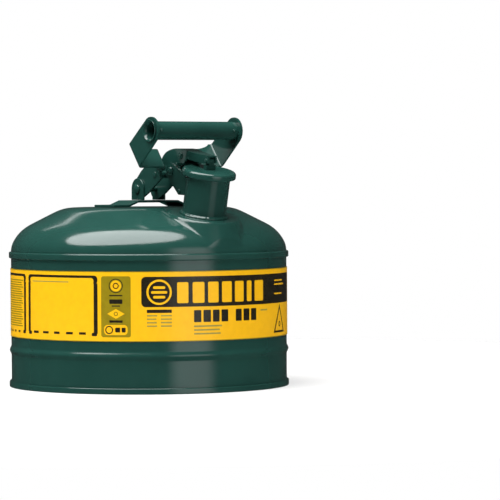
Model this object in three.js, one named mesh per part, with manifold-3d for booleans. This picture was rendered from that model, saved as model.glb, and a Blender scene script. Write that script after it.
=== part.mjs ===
// Type I steel safety can with a swinging handle and a lever-opened, self-closing spout cap.
// Millimetres. +Z is up, +X runs along the handle's hinge and -Y is the pouring side.
// In the names below "forward" is a distance towards the pouring side, so forward = -Y.
// The origin is the centre of the can's base ring, on the surface that it stands on.
import * as THREE from "three";
import { mergeVertices } from "three/addons/utils/BufferGeometryUtils.js";
import Module from "manifold-3d";

const wasm = await Module();
wasm.setup();

// ---------------------------------------------------------------- driving dimensions
const GAP = 0.3; // left between neighbouring pieces
const ROUND = 60; // facets around the can
const SPOUT_ROUND = 36; // facets around the spout and cap
const PIN_ROUND = 16; // facets around pins and rivets

const WALL_RADIUS = 147;
const WALL_SHEET = 1.2;
const SEAM_RADIUS = 149.2; // rolled seams at the top and bottom of the wall
const RIB_HEIGHT = 39;
const RIB_HALF = 5.5;
const RIB_BULGE = 1.8;
const WALL_TOP = 141.8;
const SEAM_LOW = 136.6;
const SEAM_TOP = 143.2;
const CROWN_HEIGHT = 190.2; // flat top of the dome
const LABEL_LOW = 54.1;
const LABEL_TOP = 125.8;

const NECK = { forward: 104.2, up: 182.5, tilt: THREE.MathUtils.degToRad(12.5) };
const NECK_RADIUS = 22.8;
const NECK_WALL = 1.5;
const NECK_LIP = 45.1; // along the neck's axis, from the boss
const NECK_INSIDE = -7; // how far the neck reaches into the tank
const BOSS_RADIUS = 38;
const SCREEN_RADIUS = 20;
const SCREEN_DEPTH = -55;
const CAP_RADIUS = 28.25;
const CAP_TOP = 48.3;
const STEM_PIN = 57.5; // height of the stem's pin along the neck's axis
const STEM_PIN_RADIUS = 1.3;

const STRAP = { half_length: 56.5, half_flat: 25.4, slope_end: 37, half_width: 19.05 };
const STRAP_SHEET = 2.4;
const STRAP_TOP = 197.4;

const HANDLE_PIVOT = { forward: 0, up: 209.4 };
const EAR = { inner: 12.3, outer: 14.3, radius: 11.5 };
const LEG = { middle: 10.95, radius: 11.2 };
const HANDLE_SHEET = 2.4;
const HANDLE_LEAN = THREE.MathUtils.degToRad(38); // direction of the arms above the horizontal
const GRIP = { forward: 85, up: 270.2, radius: 9.7, bore: 8.3, flare: 11.6, half: 55.6 };
const ARM = { middle: 52.4, half_width: 14.3 };
const PANEL = { back: 41.6, inner: 19.2, top: 7.9, bottom: -15.5 };
const HANDLE_RIVET = { forward: 30.5, up: 224.6, radius: 2 };
const GRIP_RIVET_X = 46;

const LEVER_PIVOT = { forward: 65.5, up: 228.2 };
const CHEEK = { inner: 13.2, outer: 15.2, radius: 9 };
const PIVOT_PIN_RADIUS = 2.9;
const CROSS_PIN = { forward: 80.5, up: 207, radius: 1.9 };
const LEVER_HALF_WIDTH = 9.3;
const LEVER_NOSE_HALF_WIDTH = 5.5;
const LEVER_SHEET = 1.7;
const LEVER_RIVET = { forward: 75.3, up: 244.2, radius: 2 };
const STOP_PIN = { forward: 76, up: 235.4, radius: 1.8 };

// ---------------------------------------------------------------- solids and meshes
function bareGeometry(geometry) {
  const bare = geometry.clone();
  bare.deleteAttribute("normal");
  bare.deleteAttribute("uv");
  return mergeVertices(bare, 1e-4);
}

// A closed geometry as a solid with its faces pointing out.
function solid(geometry) {
  const merged = bareGeometry(geometry);
  const position = merged.getAttribute("position");
  const index = merged.getIndex();
  const corners = [new THREE.Vector3(), new THREE.Vector3(), new THREE.Vector3()];
  const kept = [];
  let volume = 0;
  for (let i = 0; i < index.count; i += 3) {
    const [a, b, c] = [index.getX(i), index.getX(i + 1), index.getX(i + 2)];
    if (a === b || b === c || c === a) {
      continue;
    }
    [a, b, c].forEach((vertex, k) => corners[k].fromBufferAttribute(position, vertex));
    volume += corners[0].dot(corners[1].clone().cross(corners[2]));
    kept.push([a, b, c]);
  }
  const triVerts = new Uint32Array(kept.flatMap(([a, b, c]) => (volume > 0 ? [a, b, c] : [a, c, b])));
  const vertProperties = new Float32Array(position.array);
  return new wasm.Manifold(new wasm.Mesh({ numProp: 3, vertProperties, triVerts }));
}

function toGeometry(body) {
  const mesh = body.getMesh();
  const geometry = new THREE.BufferGeometry();
  const position = new Float32Array(mesh.vertProperties);
  geometry.setAttribute("position", new THREE.BufferAttribute(position, 3));
  geometry.setIndex(new THREE.BufferAttribute(new Uint32Array(mesh.triVerts), 1));
  geometry.computeVertexNormals();
  return geometry;
}

function join(first, ...others) {
  return others.reduce((sum, other) => sum.add(other), first);
}

function cut(first, ...tools) {
  return tools.reduce((rest, tool) => rest.subtract(tool), first);
}

// ---------------------------------------------------------------- outlines
function vectors(points) {
  return points.map(([x, y]) => new THREE.Vector2(x, y));
}

// An open line with each inner corner rounded by an arc of the given radius.
function rounded(points, radius, steps = 5) {
  const corners = vectors(points);
  const line = [corners[0]];
  for (let i = 1; i < corners.length - 1; i += 1) {
    const back = corners[i - 1].clone().sub(corners[i]).normalize();
    const ahead = corners[i + 1].clone().sub(corners[i]).normalize();
    const half = Math.acos(THREE.MathUtils.clamp(back.dot(ahead), -1, 1)) / 2;
    const reach = radius / Math.tan(half);
    const toCentre = back.clone().add(ahead).normalize();
    const centre = corners[i].clone().addScaledVector(toCentre, radius / Math.sin(half));
    const start = corners[i].clone().addScaledVector(back, reach).sub(centre);
    const end = corners[i].clone().addScaledVector(ahead, reach).sub(centre);
    const turn = Math.atan2(start.cross(end), start.dot(end));
    for (let k = 0; k <= steps; k += 1) {
      const spoke = start.clone().rotateAround(new THREE.Vector2(), (turn * k) / steps);
      line.push(spoke.add(centre));
    }
  }
  line.push(corners[corners.length - 1]);
  return line;
}

// The line moved sideways by a distance, to the left of its direction.
function shifted(line, distance) {
  return line.map((point, i) => {
    const before = line[Math.max(i - 1, 0)];
    const after = line[Math.min(i + 1, line.length - 1)];
    const inward = point.clone().sub(before);
    const outward = after.clone().sub(point);
    const direction = inward.length() > 0 ? inward.normalize() : outward.clone().normalize();
    const next = outward.length() > 0 ? outward.normalize() : direction.clone();
    const bisector = direction.clone().add(next).normalize();
    const normal = new THREE.Vector2(-bisector.y, bisector.x);
    const stretch = 1 / Math.max(bisector.dot(direction), 0.2);
    return point.clone().addScaledVector(normal, distance * stretch);
  });
}

// The closed outline of a sheet that follows a line.
function sheetOutline(line, thickness) {
  const left = shifted(line, thickness / 2);
  const right = shifted(line, -thickness / 2);
  return [...left, ...right.reverse()];
}

// The outline of a band pulled tight around circles [x, y, radius] and points [x, y].
function taut(...items) {
  const cloud = items.flatMap(([x, y, radius = 0]) => {
    const count = radius > 0 ? 24 : 1;
    return Array.from({ length: count }, (_, k) => {
      const angle = (2 * Math.PI * k) / count;
      return new THREE.Vector2(x + radius * Math.cos(angle), y + radius * Math.sin(angle));
    });
  });
  cloud.sort((a, b) => a.x - b.x || a.y - b.y);
  const chain = (points) => {
    const hull = [];
    for (const point of points) {
      while (hull.length > 1) {
        const [a, b] = hull.slice(-2);
        if (b.clone().sub(a).cross(point.clone().sub(b)) > 1e-6) {
          break;
        }
        hull.pop();
      }
      hull.push(point);
    }
    return hull.slice(0, -1);
  };
  return [...chain(cloud), ...chain(cloud.slice().reverse())];
}

// ---------------------------------------------------------------- building blocks
function extruded(outline, depth) {
  return new THREE.ExtrudeGeometry(new THREE.Shape(outline), { depth, bevelEnabled: false });
}

// A plate whose outline is in the (forward, up) plane, standing between two x planes.
function sidePlate(outline, x0, x1) {
  const frame = new THREE.Matrix4().makeBasis(
    new THREE.Vector3(0, -1, 0),
    new THREE.Vector3(0, 0, 1),
    new THREE.Vector3(-1, 0, 0),
  );
  return solid(extruded(outline, x1 - x0).applyMatrix4(frame).translate(x1, 0, 0));
}

// A body turned about the vertical axis, from a profile of (radius, height) points.
function turned(profile, facets = ROUND) {
  const closed = profile[0].x === 0 ? profile : [...profile, profile[0]];
  return new THREE.LatheGeometry(closed, facets).rotateX(Math.PI / 2);
}

// Puts a geometry made around the Z axis onto the neck's axis, heights counted from the boss.
function onNeck(geometry) {
  return geometry.rotateX(NECK.tilt).translate(0, -NECK.forward, NECK.up);
}

function neckPoint(along) {
  return {
    forward: NECK.forward + along * Math.sin(NECK.tilt),
    up: NECK.up + along * Math.cos(NECK.tilt),
  };
}

// A body turned about a line along X through a place given by forward and up.
function alongX(profile, place, facets = PIN_ROUND) {
  const geometry = turned(vectors(profile), facets).rotateY(Math.PI / 2);
  return solid(geometry.translate(0, -place.forward, place.up));
}

function pinHole(place, radius, half = 70) {
  return alongX([[0, -half], [radius, -half], [radius, half], [0, half]], place);
}

// A rivet along X with a domed head at each end.
function rivet(place, radius, head_radius, head_start, head_height) {
  const dome = [0, 0.55, 1].map((part) => [
    head_radius * Math.cos((part * Math.PI) / 2),
    head_start + head_height * (0.35 + 0.65 * Math.sin((part * Math.PI) / 2)),
  ]);
  dome[dome.length - 1][0] = 0;
  const half = [[radius, head_start], [head_radius, head_start], ...dome];
  const mirrored = half.map(([r, x]) => [r, -x]).reverse();
  return alongX([...mirrored, ...half], place);
}

// ---------------------------------------------------------------- tank
function bodyShell() {
  const outer = [[WALL_RADIUS, 1.8]];
  const steps = 6;
  for (let k = 0; k <= steps; k += 1) {
    const angle = (Math.PI * k) / steps;
    const bulge = RIB_BULGE * Math.sin(angle) ** 2;
    outer.push([WALL_RADIUS + bulge, RIB_HEIGHT - RIB_HALF * Math.cos(angle)]);
  }
  outer.push([WALL_RADIUS, WALL_TOP]);
  const inner = outer.map(([radius, height]) => [radius - WALL_SHEET, height]).reverse();
  return solid(turned(vectors([...outer, ...inner])));
}

function bottomPan() {
  const skirt = WALL_RADIUS - WALL_SHEET - 0.4;
  const floor = 7;
  return solid(turned(vectors([
    [0, floor], [skirt - WALL_SHEET, floor], [skirt - WALL_SHEET, 0.6], [skirt - 0.5, 0],
    [SEAM_RADIUS - 0.6, 0], [SEAM_RADIUS, 0.6], [SEAM_RADIUS, 5.6], [SEAM_RADIUS - 0.5, 6.2],
    [WALL_RADIUS + GAP, 6.2], [WALL_RADIUS + GAP, 1.4], [skirt, 1.4],
    [skirt, floor + WALL_SHEET], [0, floor + WALL_SHEET],
  ])));
}

// The dome's outer line from the crown to the top of the rolled seam.
function domeLine() {
  const crown = rounded([[0, CROWN_HEIGHT], [90.3, CROWN_HEIGHT - 0.1], [118, 176.1]], 44, 4);
  const shoulder = rounded([[118, 176.1], [140.9, 164.7], [WALL_RADIUS, 148.3]], 42, 6);
  return [...crown.slice(0, -1), ...shoulder.slice(1)];
}

// The flat seat pressed into the dome's shoulder for the spout: it stands proud at the front.
function bossProfile(inset) {
  return vectors([
    [0, -inset], [BOSS_RADIUS - 2.5 - inset, -inset], [BOSS_RADIUS - inset, -0.8 - inset],
    [BOSS_RADIUS + 1.6 - inset, -3 - inset], [BOSS_RADIUS + 6.5 - inset, -17],
    [BOSS_RADIUS + 6.5 - inset, -24], [0, -24],
  ]);
}

// The space above the seat, where the crown is pressed down to it.
function pocketProfile(grow) {
  return vectors([
    [0, -grow], [BOSS_RADIUS - 1.5 + grow, -grow], [BOSS_RADIUS + 4 + grow, 6 - grow],
    [BOSS_RADIUS + 4 + grow, 30], [0, 30],
  ]);
}

// The space under the dome's sheet when inset by its thickness, or the dome's full body at 0.
function domeBody(inset) {
  const line = shifted(domeLine(), -inset);
  line[0].x = 0;
  line[line.length - 1].x = WALL_RADIUS - inset;
  const seat = SEAM_TOP - 1.1;
  const base = [new THREE.Vector2(WALL_RADIUS - inset, seat), new THREE.Vector2(0, seat)];
  const dome = solid(turned([...line, ...base]));
  const pocket = solid(onNeck(turned(pocketProfile(inset), SPOUT_ROUND)));
  const boss = solid(onNeck(turned(bossProfile(inset), SPOUT_ROUND)));
  return join(cut(dome, pocket), boss);
}

function topDome() {
  const seat = SEAM_TOP - 1.1;
  const wide = SEAM_RADIUS;
  const bore = WALL_RADIUS + 0.35;
  const seam = solid(turned(vectors([
    [WALL_RADIUS - WALL_SHEET, seat], [bore, seat], [bore, SEAM_LOW], [wide - 0.5, SEAM_LOW],
    [wide, SEAM_LOW + 0.6], [wide, SEAM_TOP - 0.7], [wide - 0.5, SEAM_TOP],
    [WALL_RADIUS, SEAM_TOP + 0.6], [WALL_RADIUS - WALL_SHEET, SEAM_TOP + 0.6],
  ])));
  const below = solid(turned(vectors([[0, 100], [bore, 100], [bore, seat], [0, seat]])));
  const opening = NECK_RADIUS + GAP;
  const hole = vectors([[0, -30], [opening, -30], [opening, 30], [0, 30]]);
  return cut(
    join(domeBody(0), seam),
    domeBody(WALL_SHEET),
    below,
    solid(onNeck(turned(hole, SPOUT_ROUND))),
  );
}

function labelBand() {
  const low = WALL_RADIUS + GAP;
  const out = low + 0.4;
  return solid(turned(vectors([[low, LABEL_LOW], [out, LABEL_LOW], [out, LABEL_TOP], [low, LABEL_TOP]])));
}

// ---------------------------------------------------------------- spout
function spoutNeck() {
  const inner = NECK_RADIUS - NECK_WALL;
  return solid(onNeck(turned(vectors([
    [inner, NECK_INSIDE], [NECK_RADIUS, NECK_INSIDE], [NECK_RADIUS, NECK_LIP - 3.2],
    [NECK_RADIUS + 1.2, NECK_LIP - 2.4], [NECK_RADIUS + 1.4, NECK_LIP - 0.8],
    [NECK_RADIUS + 0.6, NECK_LIP], [inner + 0.5, NECK_LIP], [inner, NECK_LIP - 0.6],
  ]), SPOUT_ROUND)));
}

function neckWeldBead() {
  const root = NECK_RADIUS + GAP;
  return solid(onNeck(turned(vectors([
    [root, GAP], [root + 3.2, GAP], [root + 2.9, 1.2], [root + 1.6, 2.3], [root, 3.2],
  ]), SPOUT_ROUND)));
}

function arresterScreen() {
  const sheet = 0.6;
  const rim = 41.5;
  return solid(onNeck(turned(vectors([
    [0, SCREEN_DEPTH], [SCREEN_RADIUS, SCREEN_DEPTH], [SCREEN_RADIUS, rim],
    [SCREEN_RADIUS - sheet, rim], [SCREEN_RADIUS - sheet, SCREEN_DEPTH + sheet],
    [0, SCREEN_DEPTH + sheet],
  ]), SPOUT_ROUND)));
}

function arresterRing() {
  const outer = NECK_RADIUS - NECK_WALL - GAP;
  return solid(onNeck(turned(vectors([
    [SCREEN_RADIUS - 2, 41.9], [outer, 41.9], [outer, 43.2], [SCREEN_RADIUS - 1.4, 43.2],
  ]), SPOUT_ROUND)));
}

function capDisc() {
  const top = CAP_TOP;
  const edge = CAP_RADIUS;
  return solid(onNeck(turned(vectors([
    [0, top], [edge - 4, top], [edge - 1.9, top - 0.6], [edge - 0.5, top - 1.9],
    [edge, top - 3.7], [edge - 0.3, top - 5.8], [edge - 1.2, top - 7.2], [edge - 2.3, top - 7.3],
    [edge - 2.7, top - 6.4], [edge - 2.7, top - 1.4], [0, top - 1.4],
  ]), SPOUT_ROUND)));
}

function capGasket() {
  return solid(onNeck(turned(vectors([
    [0, 45.5], [24.8, 45.5], [25.2, 45.9], [25.2, 46.6], [0, 46.6],
  ]), SPOUT_ROUND)));
}

function gasketRetainer() {
  return solid(onNeck(turned(vectors([
    [0, 44.0], [15.8, 44.0], [16.6, 44.4], [16.6, 45.2], [0, 45.2],
  ]), SPOUT_ROUND)));
}

function capStem() {
  const base = new THREE.BoxGeometry(11.5, 5.4, 4.6).translate(0, 0, CAP_TOP + GAP + 2.3);
  const tongue = new THREE.BoxGeometry(6.2, 5.4, STEM_PIN - 52).translate(0, 0, (STEM_PIN + 52) / 2);
  const blank = join(solid(onNeck(base)), solid(onNeck(tongue)));
  const pin = neckPoint(STEM_PIN);
  const eye = alongX([[0, -3.1], [2.7, -3.1], [2.7, 3.1], [0, 3.1]], pin);
  return cut(join(blank, eye), pinHole(pin, STEM_PIN_RADIUS + GAP, 12));
}

function capPin() {
  return rivet(neckPoint(STEM_PIN), STEM_PIN_RADIUS, 2.2, LEVER_NOSE_HALF_WIDTH + GAP, 0.8);
}

// ---------------------------------------------------------------- cap lever and its bracket
function leverTopLine() {
  const through = [[38.8, 239.4], [41.8, 243.8], [48, 248.2], [57, 250.9], [67, 251.9], [78, 251.2],
    [92, 248.2], [106, 245.6], [120.4, 243.8]];
  return new THREE.SplineCurve(vectors(through)).getPoints(20);
}

// Half of the lever seen from above narrows from its flanges to its nose.
function leverPlan(trim) {
  const wide = LEVER_HALF_WIDTH - trim;
  const nose = LEVER_NOSE_HALF_WIDTH - trim;
  const start = 30;
  const end = 130;
  return vectors([
    [-wide, start], [wide, start], [wide, 86], [nose, 112], [nose, end],
    [-nose, end], [-nose, 112], [-wide, 86],
  ]);
}

// A block whose outline is in the (x, forward) plane, standing between two heights.
function planBlock(outline, low, high) {
  const frame = new THREE.Matrix4().makeBasis(
    new THREE.Vector3(1, 0, 0),
    new THREE.Vector3(0, -1, 0),
    new THREE.Vector3(0, 0, -1),
  );
  return solid(extruded(outline, high - low).applyMatrix4(frame).translate(0, 0, high));
}

function capLever() {
  const top = leverTopLine();
  const { forward, up } = LEVER_PIVOT;
  const hub = 7.6;
  const side = new THREE.Path();
  side.absarc(forward, up, hub, THREE.MathUtils.degToRad(20), THREE.MathUtils.degToRad(150), true);
  const lower = [...vectors([[120.4, 236], [112, 235.8], [104, 237], [86.5, 240.6], [82.6, 237.6]]),
    ...side.getPoints(9), new THREE.Vector2(44, 235.6), new THREE.Vector2(39.6, 237.6)];
  const outer = sidePlate([...top, ...lower], -LEVER_HALF_WIDTH, LEVER_HALF_WIDTH);
  const ceiling = shifted(top, -LEVER_SHEET);
  ceiling.push(new THREE.Vector2(126, ceiling[ceiling.length - 1].y));
  const hollow = sidePlate([...ceiling, new THREE.Vector2(126, 210), new THREE.Vector2(41, 210)], -12, 12);
  const core = hollow.intersect(planBlock(leverPlan(LEVER_SHEET), 200, 260));
  const blank = outer.intersect(planBlock(leverPlan(0), 200, 260));
  return cut(
    blank,
    core,
    pinHole(LEVER_PIVOT, PIVOT_PIN_RADIUS + GAP),
    pinHole(LEVER_RIVET, LEVER_RIVET.radius + GAP),
    pinHole(STOP_PIN, STOP_PIN.radius + GAP),
    pinHole(neckPoint(STEM_PIN), STEM_PIN_RADIUS + GAP),
  );
}

function leverBracket(side) {
  const { forward, up } = LEVER_PIVOT;
  const outline = taut(
    [forward, up, CHEEK.radius], [CROSS_PIN.forward, CROSS_PIN.up, 3.6],
    [84.5, 228.4], [95, 219], [100, 204], [92, 203],
  );
  const plate = side > 0
    ? sidePlate(outline, CHEEK.inner, CHEEK.outer)
    : sidePlate(outline, -CHEEK.outer, -CHEEK.inner);
  const clear = NECK_RADIUS + GAP;
  const neck = onNeck(turned(vectors([[0, -10], [clear, -10], [clear, 80], [0, 80]]), SPOUT_ROUND));
  return cut(
    plate,
    solid(neck),
    pinHole(LEVER_PIVOT, PIVOT_PIN_RADIUS + GAP),
    pinHole(CROSS_PIN, CROSS_PIN.radius + GAP),
  );
}

function leverSpacer(side) {
  const inner = side * (LEVER_HALF_WIDTH + GAP);
  const outer = side * (CHEEK.inner - GAP);
  const bore = PIVOT_PIN_RADIUS + GAP;
  return alongX([[bore, inner], [4.9, inner], [4.9, outer], [bore, outer]], LEVER_PIVOT, 20);
}

// A coil around the lever's pivot pin with one leg under the lever and one towards the cross pin.
function closingSpring() {
  const wire = 0.8;
  const coil = 4.6;
  const half = 5.2;
  const turns = 4.25;
  const steps = 8;
  const route = [new THREE.Vector3(-half, -LEVER_PIVOT.forward + coil + 12, LEVER_PIVOT.up + 8.6)];
  route.push(new THREE.Vector3(-half, -LEVER_PIVOT.forward + 7, LEVER_PIVOT.up + 5.6));
  for (let k = 0; k <= turns * steps; k += 1) {
    const angle = Math.PI * 0.5 + (2 * Math.PI * k) / steps;
    const x = -half + (2 * half * k) / (turns * steps);
    route.push(new THREE.Vector3(
      x,
      -LEVER_PIVOT.forward + coil * Math.cos(angle),
      LEVER_PIVOT.up + coil * Math.sin(angle),
    ));
  }
  route.push(new THREE.Vector3(half, -LEVER_PIVOT.forward - 12.4, LEVER_PIVOT.up - 14.6));
  const section = new THREE.Shape(Array.from({ length: 5 }, (_, k) => {
    const angle = (2 * Math.PI * k) / 5;
    return new THREE.Vector2(wire * Math.cos(angle), wire * Math.sin(angle));
  }));
  const path = new THREE.CatmullRomCurve3(route, false, "centripetal");
  return solid(new THREE.ExtrudeGeometry(section, { extrudePath: path, steps: 90, bevelEnabled: false }));
}

// ---------------------------------------------------------------- handle mount and handle
function handleStrap() {
  const thick = STRAP_SHEET;
  const foot_top = CROWN_HEIGHT + GAP + thick;
  const middle = STRAP_TOP - thick / 2;
  const foot = foot_top - thick / 2;
  const line = rounded([
    [-STRAP.half_length, foot], [-STRAP.slope_end, foot], [-STRAP.half_flat, middle],
    [STRAP.half_flat, middle], [STRAP.slope_end, foot], [STRAP.half_length, foot],
  ], 3, 3);
  const geometry = extruded(sheetOutline(line, thick), 2 * STRAP.half_width);
  return solid(geometry.rotateX(Math.PI / 2).translate(0, STRAP.half_width, 0));
}

function pivotEar(side) {
  const { forward, up } = HANDLE_PIVOT;
  const foot = STRAP_TOP + GAP;
  const outline = taut(
    [forward, up, EAR.radius], [forward - EAR.radius, foot], [forward + EAR.radius, foot],
  );
  const plate = side > 0
    ? sidePlate(outline, EAR.inner, EAR.outer)
    : sidePlate(outline, -EAR.outer, -EAR.inner);
  return cut(plate, pinHole(HANDLE_PIVOT, PIVOT_PIN_RADIUS + GAP));
}

// The handle's own plane: u runs along the arms from the grip's axis, n is square to it, upwards.
function handlePlace(u, n) {
  const [c, s] = [Math.cos(HANDLE_LEAN), Math.sin(HANDLE_LEAN)];
  return [GRIP.forward + u * c - n * s, GRIP.up + u * s + n * c];
}

function handleBlock(outline, low, high, upright) {
  const along = new THREE.Vector3(0, -Math.cos(HANDLE_LEAN), Math.sin(HANDLE_LEAN));
  const square = new THREE.Vector3(0, Math.sin(HANDLE_LEAN), Math.cos(HANDLE_LEAN));
  const x = new THREE.Vector3(1, 0, 0);
  const frame = upright
    ? new THREE.Matrix4().makeBasis(x, square, along)
    : new THREE.Matrix4().makeBasis(x, along, square.clone().negate());
  const geometry = extruded(outline, high - low).translate(0, 0, upright ? low : -high);
  return solid(geometry.applyMatrix4(frame).translate(0, -GRIP.forward, GRIP.up));
}

// One half of the handle, a single strip folded into leg, flare, panel and arm.
function handleSide(side) {
  const fold = rounded([
    [LEG.middle, -122], [LEG.middle, -64], [PANEL.inner, -52], [PANEL.inner, -PANEL.back],
    [ARM.middle, -PANEL.back], [ARM.middle, 24],
  ], 3.2, 5);
  const strip = handleBlock(sheetOutline(fold, HANDLE_SHEET), -40, 40, false);
  const edge = -PANEL.back + HANDLE_SHEET / 2;
  const leg = sidePlate(taut(
    [HANDLE_PIVOT.forward, HANDLE_PIVOT.up, LEG.radius], [4.5, 228.6], handlePlace(-58, 13.5),
    handlePlace(edge, PANEL.top), handlePlace(edge, PANEL.bottom), [17.5, 205.4],
  ), 9, PANEL.inner + HANDLE_SHEET / 2);
  const arm = sidePlate(taut(
    [GRIP.forward, GRIP.up, ARM.half_width],
    handlePlace(edge - HANDLE_SHEET, ARM.half_width), handlePlace(edge - HANDLE_SHEET, PANEL.bottom),
  ), 47, 55);
  const topEdge = new THREE.Path();
  topEdge.moveTo(27, PANEL.top);
  topEdge.bezierCurveTo(36, PANEL.top, 43, 11, 48.5, ARM.half_width);
  const panelOutline = [
    ...vectors([[55, ARM.half_width], [55, PANEL.bottom], [17, PANEL.bottom], [17, 5]]),
    ...vectors([[18, PANEL.top], [24, PANEL.top]]), ...topEdge.getPoints(8),
  ];
  const panel = handleBlock(panelOutline, edge - 6, edge + 1, true);
  const folded = strip.intersect(join(leg, panel, arm));
  const drilled = cut(
    folded,
    pinHole(HANDLE_PIVOT, PIVOT_PIN_RADIUS + GAP),
    pinHole(HANDLE_RIVET, HANDLE_RIVET.radius + GAP),
    pinHole(GRIP, GRIP.radius + GAP),
  );
  return side > 0 ? drilled : mirroredInX(drilled);
}

function mirroredInX(body) {
  return solid(toGeometry(body).scale(-1, 1, 1));
}

function gripTube() {
  const { radius, bore, flare, half } = GRIP;
  const neck = ARM.middle + HANDLE_SHEET / 2 + GAP;
  const outer = [[radius, neck], [flare - 0.6, half - 1], [flare, half]];
  const inner = [[flare - 1.2, half], [bore, neck - 1]];
  const end = [...outer, ...inner];
  const other = end.map(([r, x]) => [r, -x]).reverse();
  return cut(
    alongX([...other, ...end], GRIP, SPOUT_ROUND),
    gripRivetHole(1),
    gripRivetHole(-1),
  );
}

// A pin straight through the front wall of the grip, near one end.
function frontPin(side, profile) {
  const geometry = turned(vectors(profile), 16).rotateX(Math.PI / 2);
  return solid(geometry.translate(side * GRIP_RIVET_X, -GRIP.forward, GRIP.up));
}

function gripRivetHole(side) {
  return frontPin(side, [[0, 4], [1.5, 4], [1.5, 14], [0, 14]]);
}

function gripRivet(side) {
  const skin = GRIP.radius;
  return frontPin(side, [
    [0, GRIP.bore - 1], [2, GRIP.bore - 1], [2, GRIP.bore - GAP], [1.2, GRIP.bore - GAP],
    [1.2, skin + GAP], [2.1, skin + GAP], [1.9, skin + 0.9], [1.1, skin + 1.4], [0, skin + 1.6],
  ]);
}

function handleSpacer() {
  const half = LEG.middle - HANDLE_SHEET / 2 - GAP;
  const bore = HANDLE_RIVET.radius + GAP;
  return alongX([[bore, -half], [3.8, -half], [3.8, half], [bore, half]], HANDLE_RIVET, 20);
}

// ---------------------------------------------------------------- the assembly
const enamel = new THREE.MeshStandardMaterial({ color: 0x1f4a3f, roughness: 0.25, metalness: 0 });
const label = new THREE.MeshStandardMaterial({ color: 0xfdd603, roughness: 0.35, metalness: 0 });
const rubber = new THREE.MeshStandardMaterial({ color: 0x1b1b1b, roughness: 0.8, metalness: 0 });
const steel = new THREE.MeshStandardMaterial({ color: 0xa9a9a4, roughness: 0.4, metalness: 0.9 });

const can = new THREE.Group();
function add(name, body, material) {
  const mesh = new THREE.Mesh(toGeometry(body), material);
  mesh.name = name;
  can.add(mesh);
}

const legOuter = LEG.middle + HANDLE_SHEET / 2;

add("body_shell", bodyShell(), enamel);
add("bottom_pan", bottomPan(), enamel);
add("top_dome", topDome(), enamel);
add("label_band", labelBand(), label);
add("spout_neck", spoutNeck(), enamel);
add("neck_weld_bead", neckWeldBead(), enamel);
add("flame_arrester_screen", arresterScreen(), steel);
add("arrester_retaining_ring", arresterRing(), steel);
add("handle_strap", handleStrap(), enamel);
add("handle_pivot_pin", rivet(HANDLE_PIVOT, PIVOT_PIN_RADIUS, 5, EAR.outer + GAP, 2.4), enamel);
add("lever_pivot_pin", rivet(LEVER_PIVOT, PIVOT_PIN_RADIUS, 4.6, CHEEK.outer + GAP, 2.3), enamel);
add("bracket_cross_pin", rivet(CROSS_PIN, CROSS_PIN.radius, 2.7, CHEEK.outer + GAP, 0.9), enamel);
for (const [end, side] of [["left", -1], ["right", 1]]) {
  add(`pivot_ear_${end}`, pivotEar(side), enamel);
  add(`lever_bracket_${end}`, leverBracket(side), enamel);
  add(`handle_side_${end}`, handleSide(side), enamel);
  add(`grip_rivet_${end}`, gripRivet(side), enamel);
  add(`lever_spacer_${end}`, leverSpacer(side), steel);
}
add("grip_tube", gripTube(), enamel);
add("handle_rivet", rivet(HANDLE_RIVET, HANDLE_RIVET.radius, 3.4, legOuter + GAP, 1), enamel);
add("handle_spacer", handleSpacer(), enamel);
add("cap_lever", capLever(), enamel);
add("lever_rivet", rivet(LEVER_RIVET, LEVER_RIVET.radius, 3.6, LEVER_HALF_WIDTH + GAP, 1.2), enamel);
add("lever_stop_pin", rivet(STOP_PIN, STOP_PIN.radius, 1.85, CHEEK.outer - 0.4, 0.9), enamel);
add("closing_spring", closingSpring(), steel);
add("cap_disc", capDisc(), enamel);
add("cap_gasket", capGasket(), rubber);
add("gasket_retainer", gasketRetainer(), steel);
add("cap_stem", capStem(), enamel);
add("cap_pin", capPin(), enamel);

export default can;
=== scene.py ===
"""Looks of a round steel safety can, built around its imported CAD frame.

Lengths are metres unless a comment or docstring says millimetres.
"""
import math

import bmesh
import bpy
from mathutils import Matrix, Vector


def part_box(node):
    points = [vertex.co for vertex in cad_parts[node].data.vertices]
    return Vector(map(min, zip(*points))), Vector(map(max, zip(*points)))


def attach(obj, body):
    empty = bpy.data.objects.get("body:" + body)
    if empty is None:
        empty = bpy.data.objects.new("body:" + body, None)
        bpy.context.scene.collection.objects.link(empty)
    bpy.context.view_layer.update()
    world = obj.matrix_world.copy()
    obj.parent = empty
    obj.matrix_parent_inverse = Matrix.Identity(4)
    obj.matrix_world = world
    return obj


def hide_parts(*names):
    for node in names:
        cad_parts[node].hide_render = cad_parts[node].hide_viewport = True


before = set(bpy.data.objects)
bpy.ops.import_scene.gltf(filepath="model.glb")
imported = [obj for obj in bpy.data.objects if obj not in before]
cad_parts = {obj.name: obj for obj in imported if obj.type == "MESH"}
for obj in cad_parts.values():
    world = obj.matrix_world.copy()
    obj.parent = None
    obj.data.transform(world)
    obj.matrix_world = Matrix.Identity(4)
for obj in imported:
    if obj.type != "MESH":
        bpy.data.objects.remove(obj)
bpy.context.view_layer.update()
MM = 0.001
scene = bpy.context.scene

# ------------------------------------------------------------------ sizes read from the frame
_, WALL_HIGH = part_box("body_shell")
DOME_LOW, DOME_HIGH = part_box("top_dome")
LABEL_LOW, LABEL_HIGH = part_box("label_band")
SEAM_R = DOME_HIGH.x
CROWN_Z = DOME_HIGH.z
LABEL_R = LABEL_HIGH.x

# ------------------------------------------------------------------ sizes shared with the CAD
SHEET = 1.2 * MM
RIB_BULGE = 1.8 * MM
RIB_Z = 39 * MM
RIB_HALF = 5.5 * MM
WALL_R = WALL_HIGH.x - RIB_BULGE
NECK_R = 22.8 * MM
NECK_TILT = math.radians(12.5)
NECK_FORWARD = 104.2 * MM
NECK_UP = 182.5 * MM
SEAT_R = 38 * MM
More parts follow.
